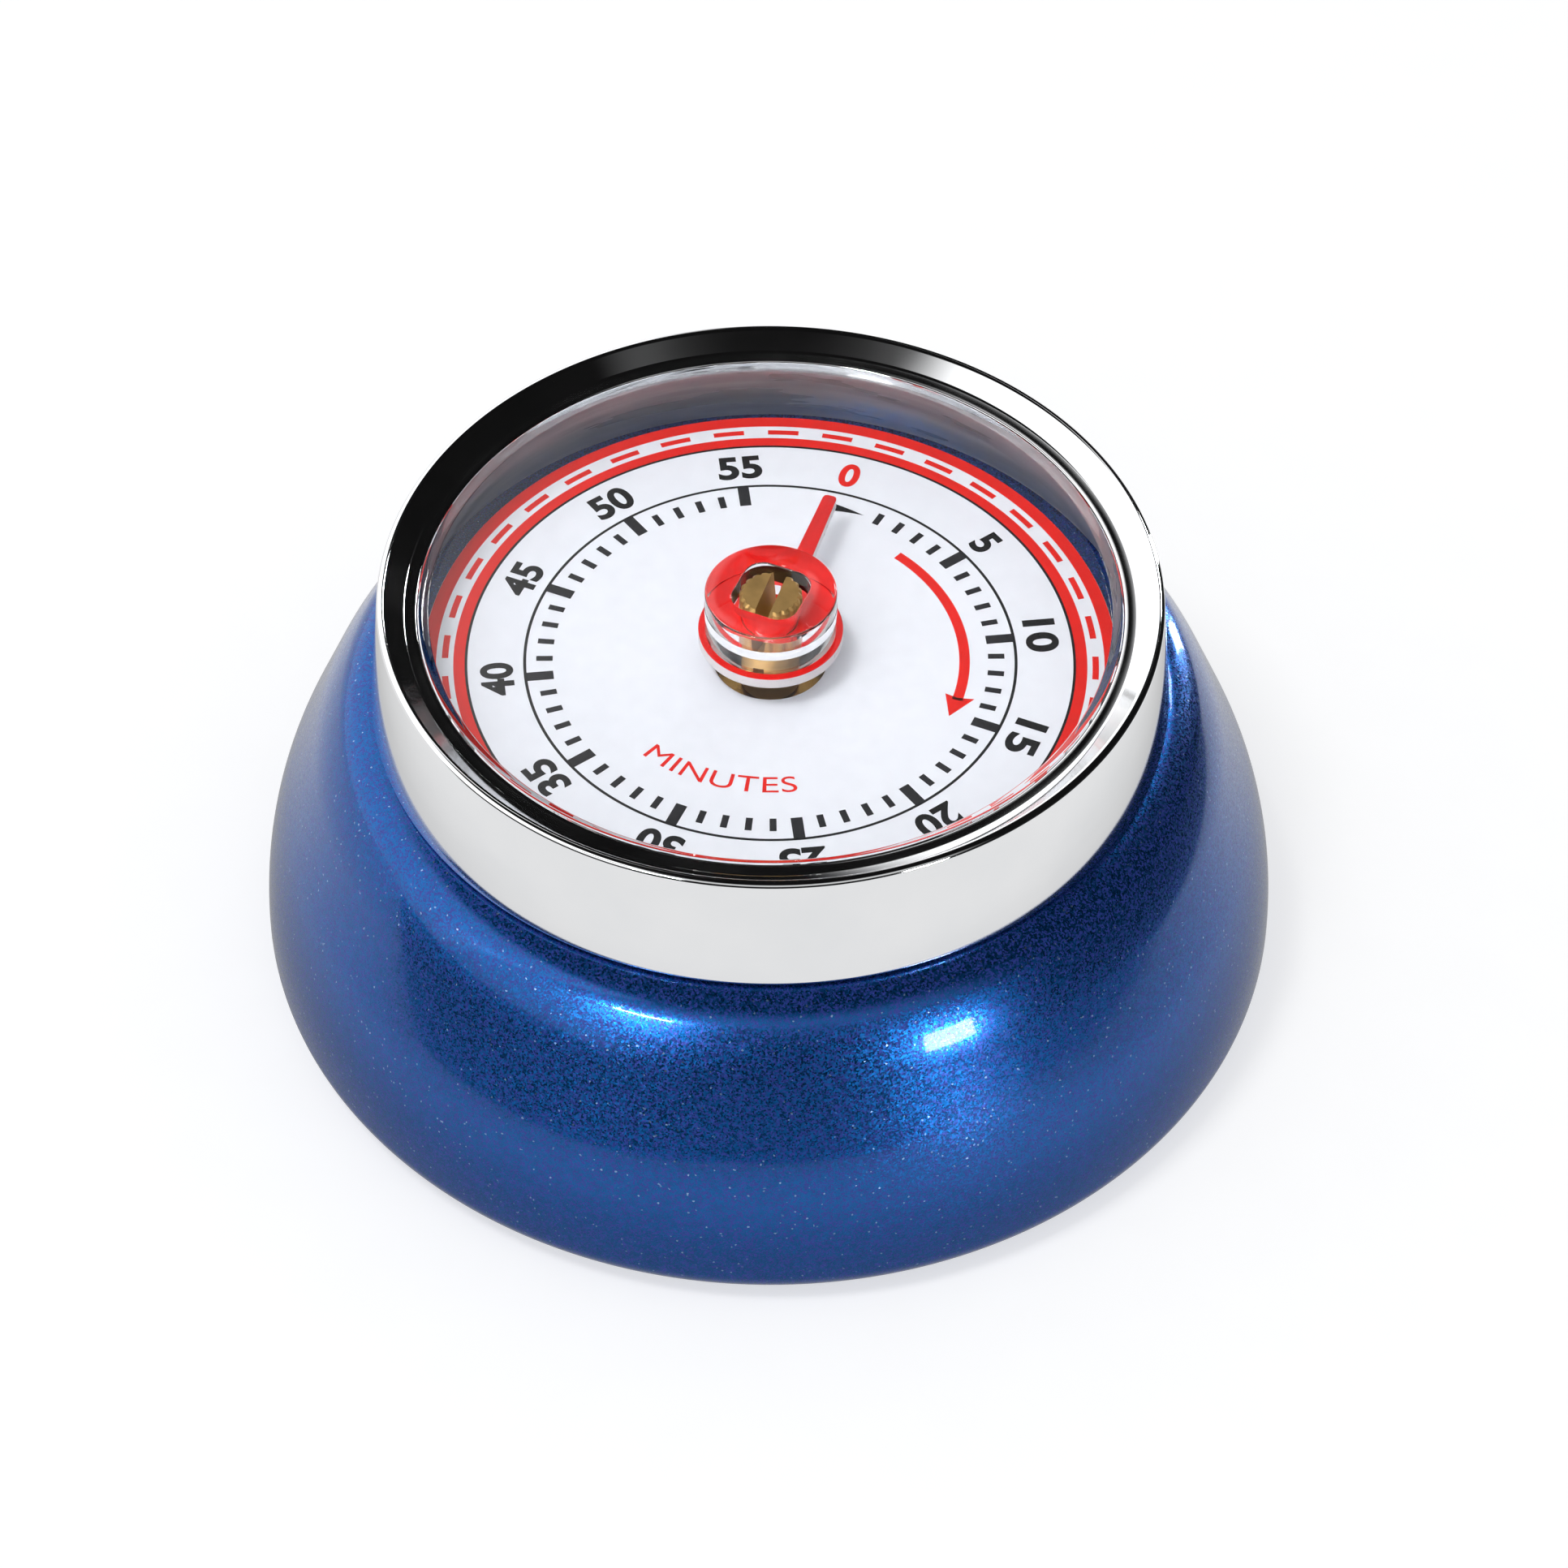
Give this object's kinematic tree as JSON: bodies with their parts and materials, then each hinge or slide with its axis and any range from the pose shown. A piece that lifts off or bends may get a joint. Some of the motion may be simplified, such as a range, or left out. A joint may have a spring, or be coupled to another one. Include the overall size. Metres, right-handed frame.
{
  "type": "kitchen timer",
  "caption": "Round clockwork kitchen timer: a bun-shaped body with a magnet, a turning ring with a clear lens and pointer over a minute dial, a wheel train, and a bell with its hammer.",
  "frame": {"origin": "centre of the back face, which lies on z = 0", "axes": "+Z along the turning axis, from the back to the lens; +Y towards the dial's zero mark"},
  "size_m": [0.07, 0.07, 0.0317],
  "materials": {
    "blue_lacquer": "metallic blue lacquer with fine flakes under a clear coat",
    "chrome": "bright chrome plating",
    "clear_plastic": "clear polished moulding",
    "dial_white": "white enamel with black and red printing",
    "pointer_red": "red foil on clear plastic",
    "cover_grey": "fine satin texture",
    "ferrite": "ground ferrite",
    "brass": "stamped and turned brass",
    "steel": "bright steel",
    "spring_steel": "blued spring steel"
  },
  "bodies": {
    "case": {"body_shell": "blue_lacquer", "dial_plate": "dial_white", "rear_cover": "cover_grey", "magnet": "ferrite", "case_screws": "steel", "movement_screws": "steel", "front_plate": "brass", "rear_plate": "brass", "plate_pillars": "brass", "pillar_nuts": "steel", "mainspring": "spring_steel", "hammer_spring": "spring_steel", "bell": "steel", "bell_post": "brass", "bell_screw": "steel"},
    "setting_knob": {"bezel_ring": "chrome", "lens": "clear_plastic", "pointer": "pointer_red", "main_arbor": "brass", "great_wheel": "brass", "ratchet_wheel": "steel", "click_pawl": "steel", "click_spring": "spring_steel", "strike_cam": "brass"},
    "second_set": {"second_pinion": "steel", "second_wheel": "brass"},
    "third_set": {"third_pinion": "steel", "third_wheel": "brass"},
    "escape_set": {"escape_pinion": "steel", "escape_wheel": "brass"},
    "balance": {"balance_staff": "steel", "pallet_anchor": "steel", "balance_bar": "brass"},
    "hammer": {"hammer_arbor": "steel", "hammer_arm": "steel", "hammer_head": "brass"}
  },
  "joints": [
    {"name": "setting_turn", "type": "hinge", "parent": "case", "child": "setting_knob", "pos_m": [0, 0, 0.016], "axis": [0, 0, 1], "range_deg": [-336, 0]},
    {"name": "second_turn", "type": "hinge", "parent": "case", "child": "second_set", "pos_m": [-0.01182, 0.00317, 0.016], "axis": [0, 0, 1], "continuous": true},
    {"name": "third_turn", "type": "hinge", "parent": "case", "child": "third_set", "pos_m": [-0.00808, 0.01069, 0.016], "axis": [0, 0, 1], "continuous": true},
    {"name": "escape_turn", "type": "hinge", "parent": "case", "child": "escape_set", "pos_m": [-0.00126, 0.01455, 0.016], "axis": [0, 0, 1], "continuous": true},
    {"name": "balance_swing", "type": "hinge", "parent": "case", "child": "balance", "pos_m": [0.00402, 0.01404, 0.016], "axis": [0, 0, 1], "range_deg": [-8, 8]},
    {"name": "hammer_swing", "type": "hinge", "parent": "case", "child": "hammer", "pos_m": [-0.00462, -0.01269, 0.016], "axis": [0, 0, 1], "range_deg": [0, 8], "stiffness_Nm_per_rad": 0.002}
  ],
  "couplings": [
    {"joint": "second_turn", "follows": "setting_turn", "ratio": -7.5},
    {"joint": "third_turn", "follows": "setting_turn", "ratio": 45},
    {"joint": "escape_turn", "follows": "setting_turn", "ratio": -270}
  ]
}
